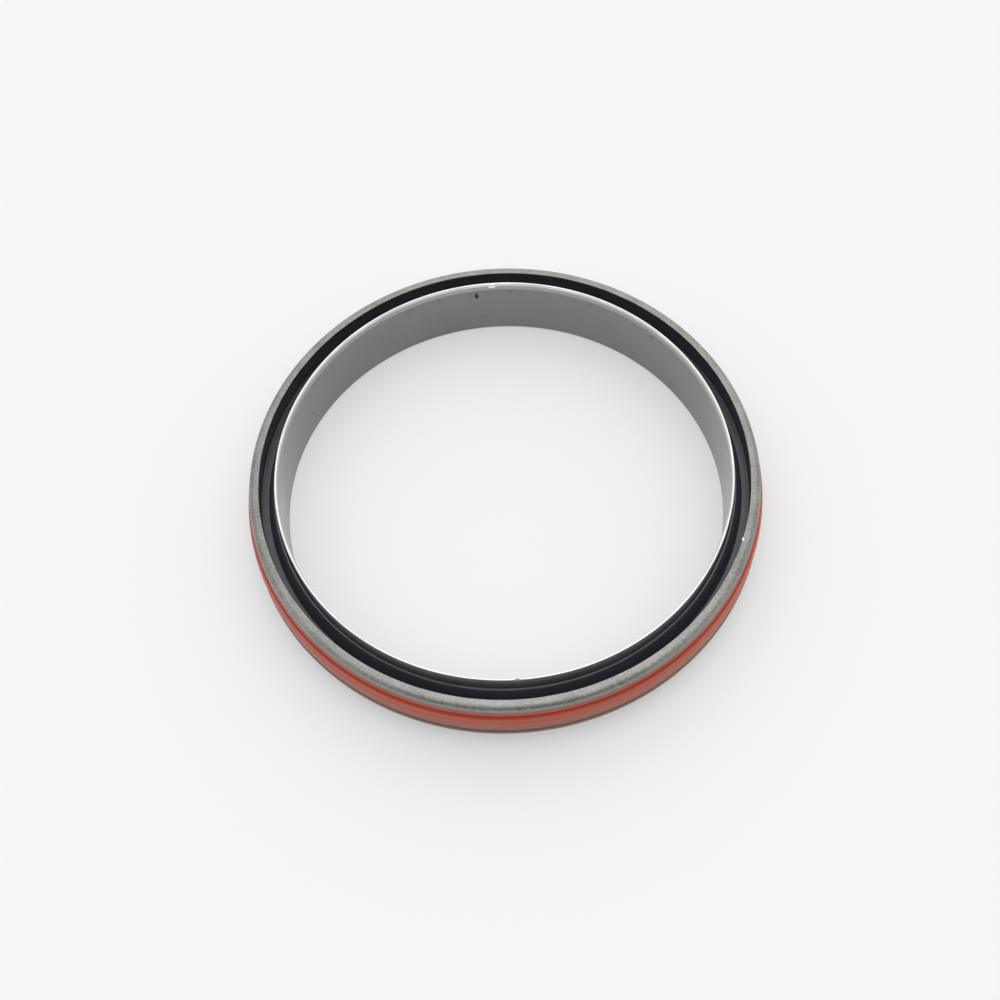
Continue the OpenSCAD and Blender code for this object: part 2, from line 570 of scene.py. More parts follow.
@dataclass
class Paint:
    """The nodes of one material, made from lengths, patterns, fades, coats and reliefs.

    Attributes:
        tree: The material's node tree.
        sockets: The socket of each length, pattern and fade that the material has so far.
    """

    tree: bpy.types.NodeTree
    sockets: dict[Along | Grain | Crystals | Fade, bpy.types.NodeSocket] = field(init=False)

    def __post_init__(self) -> None:
        """Adds the nodes that measure a point of the surface, in millimetres."""
        tree, round_share, upright_share = self.tree, 0.02, 0.06
        metres = {0: add_node(tree, "ShaderNodeTexCoord", {}).outputs["Object"], "Scale": 1 / MM}
        place = add_node(tree, "ShaderNodeVectorMath", metres, operation="SCALE").outputs[0]
        split = add_node(tree, "ShaderNodeSeparateXYZ", {0: place}).outputs
        flat = add_node(tree, "ShaderNodeCombineXYZ", {"X": split["X"], "Y": split["Y"]}).outputs[0]
        radius = add_node(tree, "ShaderNodeVectorMath", {0: flat}, operation="LENGTH").outputs["Value"]
        shrink = {0: flat, "Scale": round_share}
        slow = add_node(tree, "ShaderNodeVectorMath", shrink, operation="SCALE").outputs[0]
        section = add_node(tree, "ShaderNodeCombineXYZ", {"Y": radius, "Z": split["Z"]}).outputs[0]
        turned = add_node(tree, "ShaderNodeVectorMath", {0: slow, 1: section}, operation="ADD").outputs[0]
        squash = {0: place, 1: (1.0, 1.0, upright_share)}
        upright = add_node(tree, "ShaderNodeVectorMath", squash, operation="MULTIPLY").outputs[0]
        self.sockets = dict(zip(Along, (place, radius, split["Z"], turned, upright)))

    def value(self, source: Along | Grain | Crystals | Fade) -> bpy.types.NodeSocket:
        """Gives the socket of a length, a pattern or a fade.

        Args:
            source: The length, pattern or fade, which is added when it is first asked for.

        Returns:
            Its socket.
        """
        if source not in self.sockets:
            self.sockets[source] = source.add(self)
        return self.sockets[source]

    def combined(self, operation: str, first: Fade, second: Fade) -> bpy.types.NodeSocket:
        """Adds or multiplies two fades.

        Args:
            operation: ADD or MULTIPLY.
            first: One fade.
            second: The other one.

        Returns:
            The socket of the sum or product.
        """
        terms = {0: self.value(first), 1: self.value(second)}
        return add_node(self.tree, "ShaderNodeMath", terms, operation=operation).outputs[0]

    def covered(self, colour: str, *coats: Coat | Spot) -> bpy.types.NodeSocket:
        """Lays coats over a colour.

        Args:
            colour: The sRGB hex colour of the bare surface.
            coats: The coats and spots, the lowest first.

        Returns:
            The socket of the colour that the eye sees.
        """
        tone: Any = linear(colour)
        for coat in coats:
            layers = {0: coat.add(self), 6: tone, 7: linear(coat.colour)}
            tone = add_node(self.tree, "ShaderNodeMix", layers, data_type="RGBA").outputs[2]
        return tone

    def relief(self, *layers: tuple[Grain | Fade, float]) -> bpy.types.NodeSocket:
        """Lays bumps of a real depth over each other.

        Args:
            layers: Each pattern with the height of its bumps, in millimetres, the lowest first.

        Returns:
            The socket of the bumped normal.
        """
        inputs: dict[str, Any] = {"Strength": 1.0}
        for pattern, depth in layers:
            inputs |= {"Height": self.value(pattern), "Distance": depth * MM}
            inputs["Normal"] = add_node(self.tree, "ShaderNodeBump", inputs).outputs["Normal"]
        return inputs["Normal"]


@dataclass(frozen=True, kw_only=True)
class Finish:
    """What every surface of the seal has: a name, a colour and a gloss.

    Attributes:
        name: Name of the material.
        colour: sRGB hex colour of the clean surface.
        roughness: Roughness of the clean surface.
        metallic: 1 for a bare metal, 0 for rubber.
        spots: Small spots on it.
    """

    name: str
    colour: str
    roughness: float
    metallic: float = 0.0
    spots: tuple[Spot, ...] = ()

    def tone(self, paint: Paint, *coats: Coat) -> bpy.types.NodeSocket:
        """Gives the colour that the eye sees: coats over the clean surface, and the spots on top."""
        return paint.covered(self.colour, *coats, *self.spots)

    def uneven(self, pattern: Grain | Crystals, less: float, more: float, **ends: float) -> Fade:
        """Lets the roughness vary with a pattern, from so much less to so much more."""
        return Fade(pattern, self.roughness - less, self.roughness + more, **ends)

    def surface(self, paint: Paint) -> dict[str, Any]:
        """Gives the shader's inputs; each finish has its own.

        Args:
            paint: The material's nodes.

        Returns:
            Socket names of the shader, to constants or sockets.
        """
        raise NotImplementedError

    def material(self) -> bpy.types.Material:
        """Makes the material.

        Returns:
            The new material.
        """
        made = bpy.data.materials.new(self.name)
        made.use_nodes = True
        tree = made.node_tree
        tree.nodes.clear()
        inputs = {"Metallic": self.metallic, "Roughness": self.roughness} | self.surface(Paint(tree))
        shader = add_node(tree, "ShaderNodeBsdfPrincipled", inputs)
        add_node(tree, "ShaderNodeOutputMaterial", {"Surface": shader.outputs[0]})
        return made


@dataclass(frozen=True, kw_only=True)
class GroundSteel(Finish):
    """Carbon steel tube, cut to length and plunge-ground.

    It gives the eye a plain mid grey with fine rings round the axis, soft broad highlights, and faint
    upright scuffs where the sleeve was handled.

    Attributes:
        lead_in_z: Height of the lead-in's lower end.
        outside_r: Radius of the greased running surface.
    """

    name: str = "ground_steel"
    colour: str = "848484"
    roughness: float = 0.22
    metallic: float = 1.0
    lead_in_z: float
    outside_r: float

    def surface(self, paint: Paint) -> dict[str, Any]:
        """Gives ground rings, the brighter lead-in, scuffs, spots and the greased outside.

        Args:
            paint: The material's nodes.

        Returns:
            Socket names of the shader, to sockets.
        """
        # Grinding rings are about 0.05 mm apart, and are drawn 0.5 mm apart so that they show
        rings = Grain(0.5, Along.TURNED)
        clouds = Grain(14.0)
        streaks = Grain(1.6, Along.UPRIGHT)
        near_rim = Fade(Along.HEIGHT, 0.0, 1.0, self.lead_in_z - 3.0, self.lead_in_z - 0.5)
        # Tool chatter leaves the lead-in's lower end uneven by about a millimetre
        edge_z, edge_h, chatter = self.lead_in_z + 0.6, 0.35, 1.2
        lead_in = Fade(Along.HEIGHT, 0.0, 1.0, edge_z - edge_h, edge_z + edge_h, streaks, chatter)
        # The lips' grease dulls the running surface outside, and the bore stays dry
        dry_r, greased_r = self.outside_r - 0.4, self.outside_r - 0.2
        return {
            "Base Color": self.tone(
                paint,
                Coat("8a8a8a", Fade(clouds, 0.0, 1.0)),
                Coat("747475", Fade(rings, 0.0, 0.25)),
                Coat("626263", Fade(streaks, 0.0, 0.8, 0.55, 0.72), near_rim),
                Coat("a4a4a3", lead_in),
            ),
            "Metallic": paint.value(Fade(Along.RADIUS, self.metallic, 0.45, dry_r, greased_r)),
            "Roughness": paint.combined(
                "ADD", Fade(Along.RADIUS, 0.0, 0.3, dry_r, greased_r), self.uneven(clouds, 0.04, 0.05)
            ),
            "Normal": paint.relief((rings, 0.004)),
        }


@dataclass(frozen=True, kw_only=True)
class PolishedRim(Finish):
    """The same steel where it was faced and buffed: a bright ring with hair-fine rings round it."""

    name: str = "polished_rim"
    # The bright ring is partly a painted highlight, standing for the glare round the rim's highlight
    colour: str = "e9e9e7"
    roughness: float = 0.2
    metallic: float = 1.0

    def surface(self, paint: Paint) -> dict[str, Any]:
        """Gives a bright tone that varies a little, with fine turned rings.

        Args:
            paint: The material's nodes.

        Returns:
            Socket names of the shader, to sockets.
        """
        patches = Grain(5.0)
        return {
            "Base Color": self.tone(paint, Coat("d6d6d4", Fade(patches, 0.0, 1.0))),
            "Roughness": paint.value(self.uneven(patches, 0.0, 0.1)),
            "Normal": paint.relief((Grain(0.15, Along.TURNED), 0.002)),
        }


@dataclass(frozen=True, kw_only=True)
class DrawnSteel(Finish):
    """Cold-rolled steel sheet, deep drawn, tumbled and lightly oiled.

    It gives the eye a satin grey, a touch warm, with a fine matt grain from tumbling, slow cloudy
    patches of oil, and faint drawing lines down the bend.

    Attributes:
        collar_z: Height of the foot collar's upper end.
        bend_z: Height of the bend's upper end.
    """

    name: str = "drawn_steel"
    colour: str = "a0a09e"
    roughness: float = 0.4
    metallic: float = 1.0
    collar_z: float
    bend_z: float

    def surface(self, paint: Paint) -> dict[str, Any]:
        """Gives grain, oil clouds, painted shade on the lower bend and on the foot, and drawing lines.

        Args:
            paint: The material's nodes.

        Returns:
            Socket names of the shader, to sockets.
        """
        # Tumbling leaves a grain of about 0.1 mm, drawn 0.7 mm wide so that it shows
        grain = Grain(0.7, detail=3.0)
        clouds = Grain(9.0, detail=3.0)
        lines = Grain(0.9, Along.UPRIGHT)
        # Painted shade: the bend's lower part and the wall below it are painted darker, standing for the dark
        # low room that the bend reflects
        drawn = Fade(Along.HEIGHT, 0.8, 0.0, self.bend_z - 0.9, self.bend_z)
        # Painted shade: the foot is painted a darker brownish grey, standing for the dark contact shade below
        # the band that the bare steel reflects
        film = Fade(Along.HEIGHT, 0.9, 0.0, self.collar_z + 0.1, self.collar_z + 0.9)
        return {
            "Base Color": self.tone(
                paint,
                Coat("888883", Fade(clouds, 0.0, 1.0)),
                Coat("bebebb", Fade(grain, 0.0, 0.5, 0.5, 0.68)),
                Coat("777774", Fade(grain, 0.4, 0.0, 0.34, 0.48)),
                Coat("7f7f7c", drawn),
                Coat("7d665b", film),
            ),
            "Roughness": paint.value(self.uneven(grain, 0.07, 0.07)),
            "Normal": paint.relief((grain, 0.014), (lines, 0.006)),
        }


@dataclass(frozen=True, kw_only=True)
class PhosphatedSteel(Finish):
    """Pressed steel with a zinc phosphate coat: dark, dry grey with a crystalline fleck."""

    name: str = "phosphated_steel"
    colour: str = "4d4e50"
    roughness: float = 0.62
    metallic: float = 0.6

    def surface(self, paint: Paint) -> dict[str, Any]:
        """Gives flecks and a dry grain.

        Args:
            paint: The material's nodes.

        Returns:
            Socket names of the shader, to sockets.
        """
        # Phosphate crystals are about 0.02 mm, drawn 0.3 mm wide so that they show
        crystals = Crystals(0.3)
        flecks = Fade(crystals, 0.0, 1.0, 0.1, 0.6)
        return {
            "Base Color": self.tone(paint, Coat("64656a", flecks)),
            "Roughness": paint.value(self.uneven(crystals, 0.08, 0.1, start=0.25, end=0.45)),
            "Normal": paint.relief((flecks, 0.008)),
        }


@dataclass(frozen=True, kw_only=True)
class SiliconeBand(Finish):
    """Orange silicone rubber, moulded on the case.

    It gives the eye a strong red orange that pales where the bright floor glances off it, with the
    fine matt of a blasted mould, and painted shade in the groove.

    Attributes:
        groove_z: Height of the groove's lower and upper end.
        foot_z: Height of the chamfer at the band's foot.
    """

    name: str = "orange_silicone"
    colour: str = "bc553a"
    roughness: float = 0.45
    groove_z: tuple[float, float]
    foot_z: float

    def surface(self, paint: Paint) -> dict[str, Any]:
        """Gives the mould's matt, slow changes of colour, painted shade in the groove and a foot painted
        darker and greyer, partly as painted shade.

        Args:
            paint: The material's nodes.

        Returns:
            Socket names of the shader, to constants or sockets.
        """
        # A blasted mould's matt is about 0.03 mm, drawn 0.3 mm wide so that it shows
        matt = Grain(0.3, detail=3.0)
        low, high = self.groove_z
        # Painted shade: the groove is painted a deeper, darker red, standing for the shade between its walls
        above = Fade(Along.HEIGHT, 0.0, 1.0, low - 0.35, low + 0.45)
        below = Fade(Along.HEIGHT, 1.0, 0.0, high - 0.2, high + 0.2)
        # The band is painted darker and greyer towards its foot, partly as painted shade standing for the
        # contact shade near the floor
        dust = Fade(Along.HEIGHT, 0.85, 0.0, self.foot_z, self.foot_z + 6.2)
        return {
            "Base Color": self.tone(
                paint,
                Coat("c46045", Fade(Grain(6.0), 0.0, 1.0)),
                Coat("b24c33", Fade(Grain(1.2, Along.TURNED), 0.0, 0.5)),
                Coat("a8381f", above, below),
                Coat("835d4e", dust),
            ),
            "Roughness": paint.value(self.uneven(matt, 0.05, 0.08)),
            "IOR": 1.41,
            "Normal": paint.relief((matt, 0.006)),
        }


@dataclass(frozen=True, kw_only=True)
class NitrileRubber(Finish):
    """Black nitrile rubber, moulded and oiled for storage.

    It gives the eye a near black, a little blue, with a soft sheen from the oil and a faint grey
    bloom in patches.
    """

    name: str = "black_nitrile"
    colour: str = "4a4952"
    roughness: float = 0.3

    def surface(self, paint: Paint) -> dict[str, Any]:
        """Gives the bloom, the mould's matt and the flow lines round the ring.

        Args:
            paint: The material's nodes.

        Returns:
            Socket names of the shader, to constants or sockets.
        """
        # A polished mould's matt is about 0.02 mm, drawn 0.25 mm wide so that it shows
        matt = Grain(0.25, detail=3.0)
        bloom = Grain(4.0, detail=3.0)
        return {
            "Base Color": self.tone(
                paint,
                Coat("54535a", Fade(bloom, 0.0, 0.6, 0.5, 0.8)),
                Coat("3b3a43", Fade(Grain(0.8, Along.TURNED), 0.0, 0.3)),
            ),
            "Roughness": paint.value(self.uneven(bloom, 0.0, 0.14)),
            "IOR": 1.52,
            "Specular IOR Level": 0.75,
            "Normal": paint.relief((matt, 0.004)),
        }


@dataclass(frozen=True, kw_only=True)
class SpringWire(Finish):
    """Hard-drawn spring steel wire, bright with a thin brown film of oil."""

    name: str = "spring_steel_wire"
    colour: str = "b4b3ae"
    roughness: float = 0.28
    metallic: float = 1.0

    def surface(self, paint: Paint) -> dict[str, Any]:
        """Gives the film of oil and the die marks.

        Args:
            paint: The material's nodes.

        Returns:
            Socket names of the shader, to sockets.
        """
        film = Grain(3.0)
        return {
            "Base Color": self.tone(paint, Coat("8f8b80", Fade(film, 0.0, 1.0))),
            "Roughness": paint.value(self.uneven(film, 0.04, 0.12)),
            "Normal": paint.relief((Grain(0.12), 0.002)),
        }


def reach_of(node: str) -> tuple[float, float, float]:
    """Measures a node of the frame.

    Args:
        node: Name of the node.

    Returns:
        Its outside radius, its lowest and its highest point, in millimetres.
    """
    low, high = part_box(node)
    return high.x / MM, low.z / MM, high.z / MM


def dress(piece: bpy.types.Object, body: Body, slot: Slot, node: str, *finishes: Finish) -> bpy.types.Object:
    """Gives a piece its finishes, and puts it in the place of its node in the frame.

    Args:
        piece: The object that stands for the node.
        body: The body that it rides on.
        slot: The record's material slot; not used.
        node: The node that it replaces.
        finishes: Its finishes, in the order of its faces' material numbers.

    Returns:
        The same object.
    """
    for finish in finishes:
        piece.data.materials.append(finish.material())
    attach(piece, body.value)
    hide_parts(node)
    LOG.info("%s: %d faces on body %s, for node %s", piece.name, len(piece.data.polygons), body.value, node)
    return piece


@dataclass
class OuterCase:
    """The drawn steel case: flange, bend, rolled seat and foot collar.

    Attributes:
        outside_r: Outside radius of the foot collar.
        foot_z: Height of the foot.
        top_z: Height of the flange's top.
        sheet: Thickness of the sheet.
        flange_w: Width of the flange.
        flange_fall: Fall of the flange towards its outside, in degrees.
        bend_r: Outside radius of the bend.
        seat_depth: Depth of the rolled seat.
        collar_h: Height of the collar.
        jog_h: Height of the step from the collar to the seat.
        edge_r: Radius of the sheet's edges.
    """

    outside_r: float
    foot_z: float
    top_z: float
    sheet: float = 1.1
    flange_w: float = 4.3
    flange_fall: float = 11.0
    bend_r: float = 2.0
    seat_depth: float = 1.25
    collar_h: float = 2.0
    jog_h: float = 0.8
    edge_r: float = 0.2

    @classmethod
    def from_frame(cls) -> OuterCase:
        """Sizes the case from its node."""
        return cls(*reach_of("outer_case"))

    @property
    def slope(self) -> float:
        """Fall of the flange for each millimetre outwards."""
        return math.tan(math.radians(self.flange_fall))

    @property
    def rim_r(self) -> float:
        """Radius of the flange's inner edge."""
        return self.outside_r - self.flange_w

    @property
    def seat_r(self) -> float:
        """Outside radius of the rolled seat."""
        return self.outside_r - self.seat_depth

    @property
    def wall_r(self) -> float:
        """Inside radius of the wall behind the seat."""
        return self.seat_r - self.sheet

    @property
    def seat_z(self) -> float:
        """Height of the seat's lower end."""
        return self.foot_z + self.collar_h + self.jog_h

    @property
    def corner_z(self) -> float:
        """Height of the flange's sharp corner, which its edge radius takes down to top_z."""
        lean = 1 / math.cos(math.radians(self.flange_fall))
        return self.top_z + self.edge_r * (self.slope + lean - 1)

    @property
    def sheet_drop(self) -> float:
        """Thickness of the falling flange, measured straight down."""
        return self.sheet / math.cos(math.radians(self.flange_fall))

    def outline(self) -> Outline:
        """Gives the section of the case.

        Returns:
            The section, from the inside of the foot outwards.
        """
        lead_w, lead_h, soft = 0.4, 0.6, 0.12
        jog_z = self.foot_z + self.collar_h
        shift = self.sheet * math.tan(math.atan2(self.seat_depth, self.jog_h) / 2)
        inside_r = self.outside_r - self.sheet
        bend_z = self.corner_z - (self.seat_r - self.rim_r) * self.slope
        low_bend_z = self.corner_z - self.sheet_drop - (self.wall_r - self.rim_r) * self.slope
        return Outline((
            Corner(inside_r, self.foot_z, self.edge_r),
            Corner(self.outside_r - lead_w, self.foot_z, self.edge_r),
            Corner(self.outside_r, self.foot_z + lead_h, self.edge_r),
            Corner(self.outside_r, jog_z, self.edge_r),
            Corner(self.seat_r, self.seat_z, soft),
            Corner(self.seat_r, bend_z, self.bend_r),
            Corner(self.rim_r, self.corner_z, self.edge_r),
            Corner(self.rim_r, self.corner_z - self.sheet_drop, self.edge_r),
            Corner(self.wall_r, low_bend_z, self.bend_r - self.sheet),
            Corner(self.wall_r, self.seat_z - shift, soft),
            Corner(inside_r, jog_z - shift, soft),
        ))

    def build(self) -> bpy.types.Object:
        """Makes the case, with the small burr on its sheared edge.

        Returns:
            The dressed case.
        """
        burr = Mark(-22.6, self.rim_r, self.top_z, width=0.45, reach=0.35, push=(-0.22, 0.0))
        torn = Spot(burr.azimuth, self.rim_r, self.top_z, size=0.55, colour="e6e6e4")
        shear = Ripple(self.rim_r, self.top_z, reach=0.3, push=(0.03, 0.0), waves=(11, 29, 67))
        ring = TurnedRing("outer_case_shell", self.outline(), (burr, shear))
        collar_z, bend_z = self.foot_z + self.collar_h, self.top_z - self.sheet
        steel = DrawnSteel(collar_z=collar_z, bend_z=bend_z, spots=(torn,))
        return dress(ring.build(), Body.SEAL, Slot.CASE, "outer_case", steel)


@dataclass
class SealBand:
    """The orange band: a thin upper rib, a groove and a broad lower rib, moulded on the case.

    Attributes:
        case: The case that carries it.
        crest_r: Radius of the broad rib.
        foot_z: Height of the band's lower end.
        top_z: Height of its upper end.
        crest_h: Height of the broad rib's crest above the case's foot.
        groove_h: Height of the groove's lower edge above the case's foot.
        groove_t: Thickness of the rubber in the groove.
        rib_t: Thickness of the upper rib.
        rib_h: Height of the upper rib.
        rib_drop: Depth of the upper rib's top below the flange's corner.
        chamfer: Width and height of the chamfer at the band's foot.
    """

    case: OuterCase
    crest_r: float
    foot_z: float
    top_z: float
    crest_h: float = 7.3
    groove_h: float = 9.75
    groove_t: float = 0.1
    rib_t: float = 0.25
    rib_h: float = 1.4
    rib_drop: float = 2.25
    chamfer: tuple[float, float] = (0.25, 0.5)

    @classmethod
    def from_frame(cls, case: OuterCase) -> SealBand:
        """Sizes the band from its node."""
        return cls(case, *reach_of("seal_band"))

    @property
    def groove_z(self) -> tuple[float, float]:
        """Heights of the groove's lower and upper edge."""
        return self.case.foot_z + self.groove_h, self.case.corner_z - self.rib_drop - self.rib_h

    def outline(self) -> Outline:
        """Gives the section, whose root lies 0.05 mm inside the case's sheet.

        Returns:
            The section, from its lower root outwards.
        """
        sink, ramp_w, slope, taper = 0.05, 0.7, 0.15, 0.75
        crisp, ramp_round, eased, crest_round = 0.1, 0.15, 0.3, 1.0
        chamfer_w, chamfer_h = self.chamfer
        groove_low, groove_high = self.groove_z
        seat_r = self.case.seat_r
        rib_r, groove_r = seat_r + self.rib_t, seat_r + self.groove_t
        return Outline((
            Corner(seat_r - sink, self.foot_z),
            Corner(self.crest_r - chamfer_w, self.foot_z, crisp),
            Corner(self.crest_r, self.foot_z + chamfer_h, eased),
            Corner(self.crest_r, self.case.foot_z + self.crest_h, crest_round),
            Corner(seat_r + ramp_w, groove_low, ramp_round),
            Corner(groove_r, groove_low + slope, crisp),
            Corner(groove_r, groove_high - slope, crisp),
            Corner(rib_r, groove_high, crisp),
            Corner(rib_r, groove_high + self.rib_h - taper, eased),
            Corner(seat_r - sink, self.top_z),
        ))

    def build(self) -> bpy.types.Object:
        """Makes the band, whose upper edge wanders a little over the steel.

        Returns:
            The dressed band.
        """
        flowed = Ripple(self.case.seat_r, self.top_z, reach=0.5, push=(0.0, 0.07))
        ring = TurnedRing("orange_sealing_band", self.outline(), (flowed,))
        silicone = SiliconeBand(groove_z=self.groove_z, foot_z=self.foot_z + self.chamfer[1])
        return dress(ring.build(), Body.SEAL, Slot.BAND, "seal_band", silicone)


@dataclass
class InnerCase:
    """The pressed ring inside the case, whose flange guards the spring.

    Attributes:
        outside_r: Outside radius of its wall.
        low_z: Height of its flange.
        top_z: Height of its upper end.
        hole_r: Radius of the hole in its flange.
        sheet: Thickness of the sheet.
        bend_r: Outside radius of its bend.
        edge_r: Radius of the sheet's edges.
    """

    outside_r: float
    low_z: float
    top_z: float
    hole_r: float
    sheet: float = 0.9
    bend_r: float = 1.3
    edge_r: float = 0.2

    @classmethod
    def from_frame(cls, sleeve_r: float, clearance: float = 4.0) -> InnerCase:
        """Sizes the ring from its node, with its hole that far from the sleeve."""
        return cls(*reach_of("inner_case"), sleeve_r + clearance)

    def outline(self) -> Outline:
        """Gives the section of the ring.

        Returns:
            The section, from the flange's hole outwards.
        """
        inside_r = self.outside_r - self.sheet
        return Outline((
            Corner(self.hole_r, self.low_z, self.edge_r),
            Corner(self.outside_r, self.low_z, self.bend_r),
            Corner(self.outside_r, self.top_z, self.edge_r),
            Corner(inside_r, self.top_z, self.edge_r),
            Corner(inside_r, self.low_z + self.sheet, self.bend_r - self.sheet),
            Corner(self.hole_r, self.low_z + self.sheet, self.edge_r),
        ))

    def build(self) -> bpy.types.Object:
        """Makes the ring."""
        ring = TurnedRing("inner_case_ring", self.outline())
        return dress(ring.build(), Body.SEAL, Slot.INNER_CASE, "inner_case", PhosphatedSteel())


@dataclass
class GarterSpring:
    """The coil that presses the oil lip on the sleeve.

    Attributes:
        coil: The close-wound wire.
    """

    coil: CoiledSpring

    @classmethod
    def from_frame(cls) -> GarterSpring:
        """Sizes the coil from its node.

        Returns:
            The spring.
        """
        outside_r, low_z, high_z = reach_of("garter_spring")
        coil_r = (high_z - low_z) / 2
        return cls(CoiledSpring("garter_spring_coil", outside_r - coil_r, (low_z + high_z) / 2, coil_r))

    def build(self) -> bpy.types.Object:
        """Makes the coil."""
        return dress(self.coil.build(), Body.SEAL, Slot.SPRING, "garter_spring", SpringWire())


@dataclass
class LipElement:
    """The moulded rubber: lining, trough, dust lip, oil lip and the spring's groove.

    Attributes:
        case: The case that it is bonded in.
        spring: The spring that lies in its groove.
        lip_r: Radius of the lips' edges.
        body_z: Height of the rubber body's lower face.
        oil_z: Height of the oil lip's edge.
        dust_z: Height of the dust lip's edge.
        air_angle: Slope of the oil lip's upper flank off the axis, in degrees.
        oil_angle: Slope of its lower flank.
        dust_angle: Slope of the dust lip.
        dust_t: Thickness of the dust lip.
        tip_h: Height of the dust lip's blunt tip above its edge.
        lining_t: Thickness of the rubber below the flange.
        undercut: How far the trough reaches outwards under the flange.
    """

    case: OuterCase
    spring: CoiledSpring
    lip_r: float
    body_z: float
    oil_z: float
    dust_z: float
    air_angle: float = 25.0
    oil_angle: float = 45.0
    dust_angle: float = 21.0
    dust_t: float = 0.85
    tip_h: float = 0.6
    lining_t: float = 0.5
    undercut: float = 0.6

    @classmethod
    def from_frame(cls, case: OuterCase, spring: CoiledSpring, sleeve_r: float, body_z: float) -> LipElement:
        """Sizes the element from the pieces round it.

        Args:
            case: The case.
            spring: The spring.
            sleeve_r: Outside radius of the wear sleeve.
            body_z: Height of the inner case's upper end, where the rubber body starts.

        Returns:
            The element, with its lips 0.05 mm clear of the sleeve.
        """
        gap, edge_drop, dust_rise = 0.05, 0.5, 8.5
        oil_z = spring.z - edge_drop
        return cls(case, spring, sleeve_r + gap, body_z, oil_z, oil_z + dust_rise)

    def _groove(self, head_r: float) -> list[Corner]:
        """Gives the spring's groove, from its lower to its upper rim.

        Args:
            head_r: Outside radius of the lip's head.

        Returns:
            Corners along the groove's arc.
        """
        corners = 17
        ring_r, z, coil_r = self.spring.ring_r, self.spring.z, self.spring.coil_r
        half = math.acos((head_r - ring_r) / coil_r)
        turns = np.linspace(-half, -2 * math.pi + half, corners)
        return [Corner(ring_r + coil_r * math.cos(t), z + coil_r * math.sin(t)) for t in turns]

    def outline(self) -> Outline:
        """Gives the section, whose bonded faces lie 0.05 mm inside the steel.

        Returns:
            The section, from the root on the inner case upwards and round by the lips.
        """
        case, spring = self.case, self.spring
        slopes = (self.dust_angle, self.air_angle, self.oil_angle)
        dust_tan, air_tan, oil_tan = (math.tan(math.radians(slope)) for slope in slopes)
        # Lining and trough
        sink, setback, floor_lift, floor_rise = 0.05, 0.25, 0.7, 0.2
        crisp, trough_round = 0.15, 0.4
        root_r = case.wall_r + sink
        under_z = case.corner_z - case.sheet_drop + sink
        lining_r, lining_z = case.rim_r + setback, case.corner_z - case.sheet_drop - self.lining_t
        trough_out_r, trough_z = case.rim_r + self.undercut, self.body_z + floor_lift
        # Dust lip
        foot_h, tip_round, tip_edge, dust_edge = 2.4, 0.45, 0.2, 0.06
        tip_w = self.dust_t / math.cos(math.radians(self.dust_angle))
        tip_z, foot_z = self.dust_z + self.tip_h, self.dust_z - foot_h
        trough_r = self.lip_r + tip_w + (tip_z - trough_z) * dust_tan
        # Neck, oil lip and haunch
        neck_gap, neck_t, chamber_h = 1.3, 1.1, 0.8
        flank_h, nose_h, head_gap, rim_h, haunch_w, haunch_h = 2.25, 1.2, 0.35, 0.35, 1.6, 0.5
        oil_edge, head_round, eased, full = 0.04, 0.25, 0.3, 0.5
        neck_r, head_r = self.lip_r + neck_gap, spring.ring_r - head_gap
        neck_out_r = neck_r + neck_t
        nose_z, rim_z = self.oil_z - nose_h, spring.z + spring.coil_r + rim_h
        return Outline((
            Corner(root_r, self.body_z),
            Corner(root_r, under_z - (root_r - case.rim_r) * case.slope, case.bend_r - case.sheet),
            Corner(lining_r, under_z - setback * case.slope),
            Corner(lining_r, lining_z, crisp),
            Corner(trough_out_r, lining_z - self.undercut * case.slope, eased),
            Corner(trough_out_r, trough_z + floor_rise, trough_round),
            Corner(trough_r, trough_z, trough_round),
            Corner(self.lip_r + tip_w, tip_z, tip_round),
            Corner(self.lip_r + self.tip_h * dust_tan, tip_z, tip_edge),
            Corner(self.lip_r, self.dust_z, dust_edge),
            Corner(self.lip_r + foot_h * dust_tan, foot_z, full),
            Corner(neck_r, foot_z - chamber_h, full),
            Corner(neck_r, self.oil_z + flank_h + chamber_h, full),
            Corner(self.lip_r + flank_h * air_tan, self.oil_z + flank_h, full),
            Corner(self.lip_r, self.oil_z, oil_edge),
            Corner(self.lip_r + nose_h * oil_tan, nose_z, head_round),
            Corner(head_r, nose_z, head_round),
            *self._groove(head_r),
            Corner(head_r, rim_z, head_round),
            Corner(neck_out_r, rim_z + rim_h, eased),
            Corner(neck_out_r, self.body_z - haunch_h, eased),
            Corner(neck_out_r + haunch_w, self.body_z, full),
        ))

    def build(self) -> bpy.types.Object:
        """Makes the element, whose dust lip's tip was trimmed and is a little uneven.

        Returns:
            The dressed element.
        """
        tip_r = self.lip_r + 0.7
        trim = Ripple(tip_r, self.dust_z + self.tip_h, reach=0.5, push=(0.02, 0.05), waves=(5, 17, 41))
        ring = TurnedRing("black_lip_element", self.outline(), (trim,))
        return dress(ring.build(), Body.SEAL, Slot.LIP, "lip_element", NitrileRubber())


